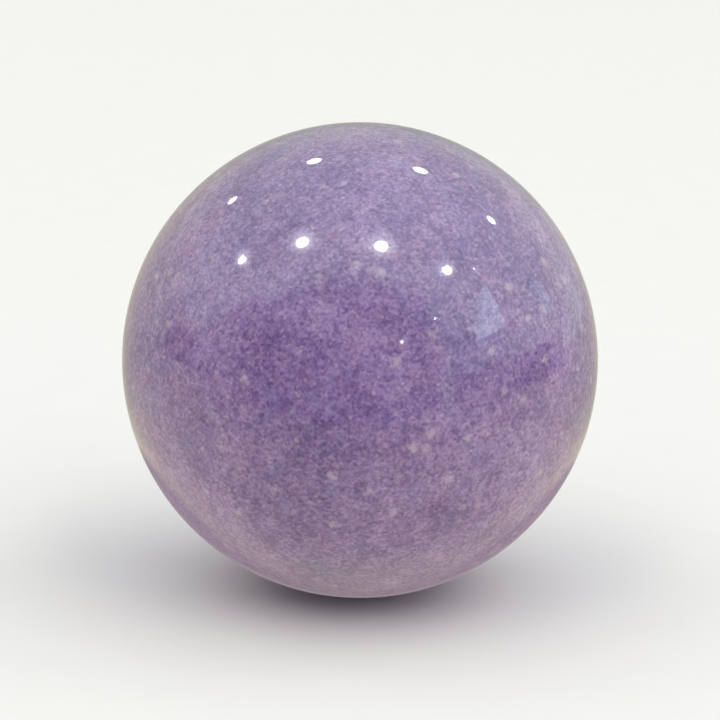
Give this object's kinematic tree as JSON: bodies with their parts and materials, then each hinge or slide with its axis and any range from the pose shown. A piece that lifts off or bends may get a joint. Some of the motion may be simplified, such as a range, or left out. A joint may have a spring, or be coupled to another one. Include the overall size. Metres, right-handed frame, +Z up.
{
  "type": "rubber play ball",
  "caption": "Air-filled rubber play ball with a smooth glossy speckled cover, wound carcass, bladder and pull-out plug valve.",
  "frame": {"origin": "centre of the flat that the ball stands on, straight below the ball's centre", "axes": "+Z up; +Y towards the side that holds the valve, whose axis points 12 degrees below +Y; the ball is a mirror image of itself across the plane x = 0"},
  "size_m": [0.216, 0.216, 0.2155],
  "materials": {
    "cover_rubber": "speckled purple under a clear gloss coat",
    "ply_rubber": "matt",
    "nylon_thread": "thread set in latex",
    "butyl_rubber": "matt",
    "valve_rubber": "satin",
    "core_rubber": "soft, matt",
    "plug_rubber": "satin"
  },
  "bodies": {
    "ball": {"cover_front": "cover_rubber", "cover_rear": "cover_rubber", "inner_ply_front": "ply_rubber", "inner_ply_rear": "ply_rubber", "thread_winding": "nylon_thread", "bladder": "butyl_rubber", "valve_patch": "butyl_rubber", "valve_housing": "valve_rubber", "valve_core": "core_rubber"},
    "plug": {"valve_plug": "plug_rubber"}
  },
  "joints": [
    {"name": "plug_pull", "type": "slide", "parent": "ball", "child": "plug", "axis": [0, 0.9781, -0.2079], "range_m": [0, 0.03]}
  ]
}
